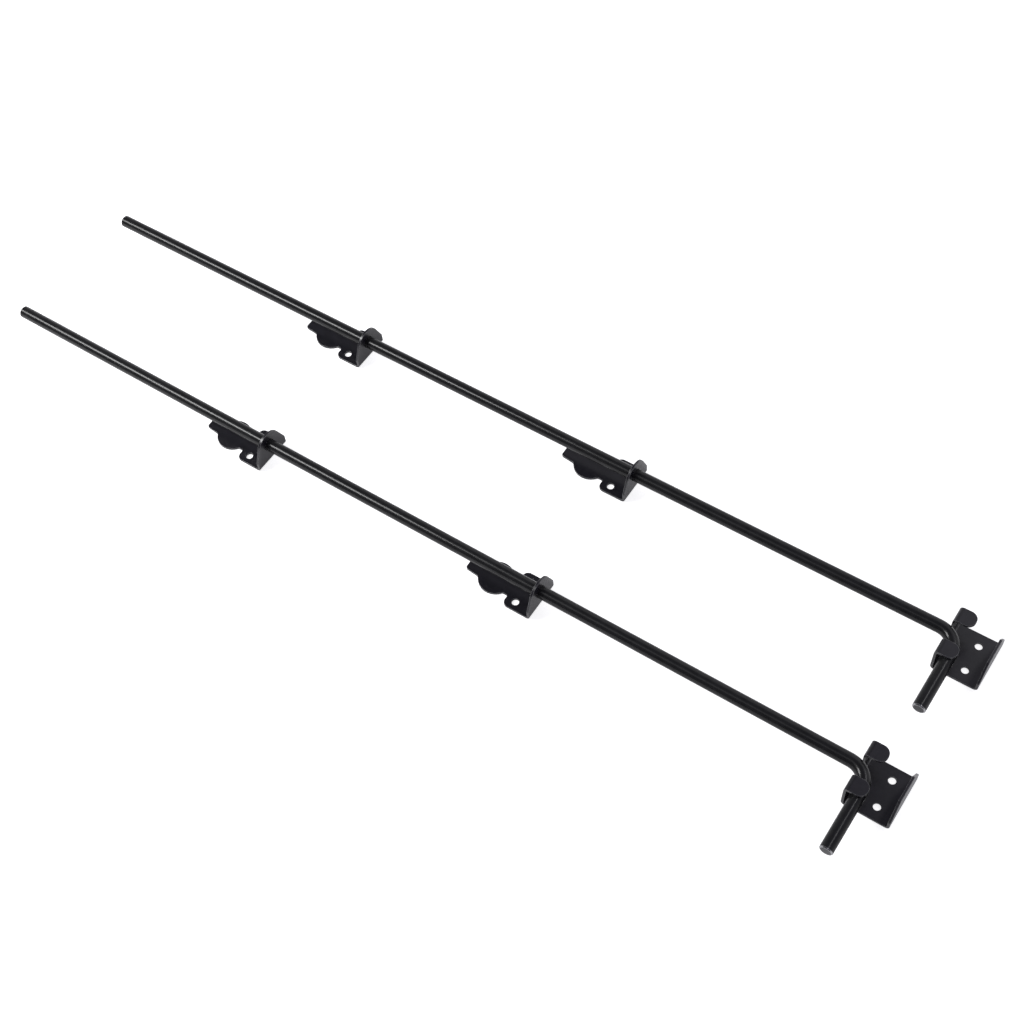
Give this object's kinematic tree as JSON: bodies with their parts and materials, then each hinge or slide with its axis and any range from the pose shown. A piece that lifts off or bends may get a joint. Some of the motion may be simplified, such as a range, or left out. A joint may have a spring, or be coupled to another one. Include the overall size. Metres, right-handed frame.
{
  "type": "gate cane bolt set",
  "caption": "Long round rods bent square into handles, each sliding through flanged guide brackets and held up by a two-hook bracket with a stop flange.",
  "frame": {"origin": "middle of the set's footprint, on the flat surface that every bracket is screwed to", "axes": "+X along the rods from foot to handle (up, on a hung gate), +Y from bolt a to bolt b, +Z away from the mounting surface"},
  "size_m": [1.0396, 0.262, 0.037],
  "materials": {
    "rod_coat": "satin black powder coat",
    "bracket_coat": "satin black powder coat"
  },
  "bodies": {
    "brackets": {"bolt_a_lower_guide": "bracket_coat", "bolt_a_upper_guide": "bracket_coat", "bolt_a_hold_up_bracket": "bracket_coat", "bolt_b_lower_guide": "bracket_coat", "bolt_b_upper_guide": "bracket_coat", "bolt_b_hold_up_bracket": "bracket_coat"},
    "bolt_a_rod": {"bolt_a_rod": "rod_coat"},
    "bolt_b_rod": {"bolt_b_rod": "rod_coat"}
  },
  "joints": [
    {"name": "bolt_a_lift", "type": "slide", "parent": "brackets", "child": "bolt_a_rod", "axis": [1, 0, 0], "range_m": [-0.0014, 0.024]},
    {"name": "bolt_b_lift", "type": "slide", "parent": "brackets", "child": "bolt_b_rod", "axis": [1, 0, 0], "range_m": [-0.0014, 0.024]}
  ]
}
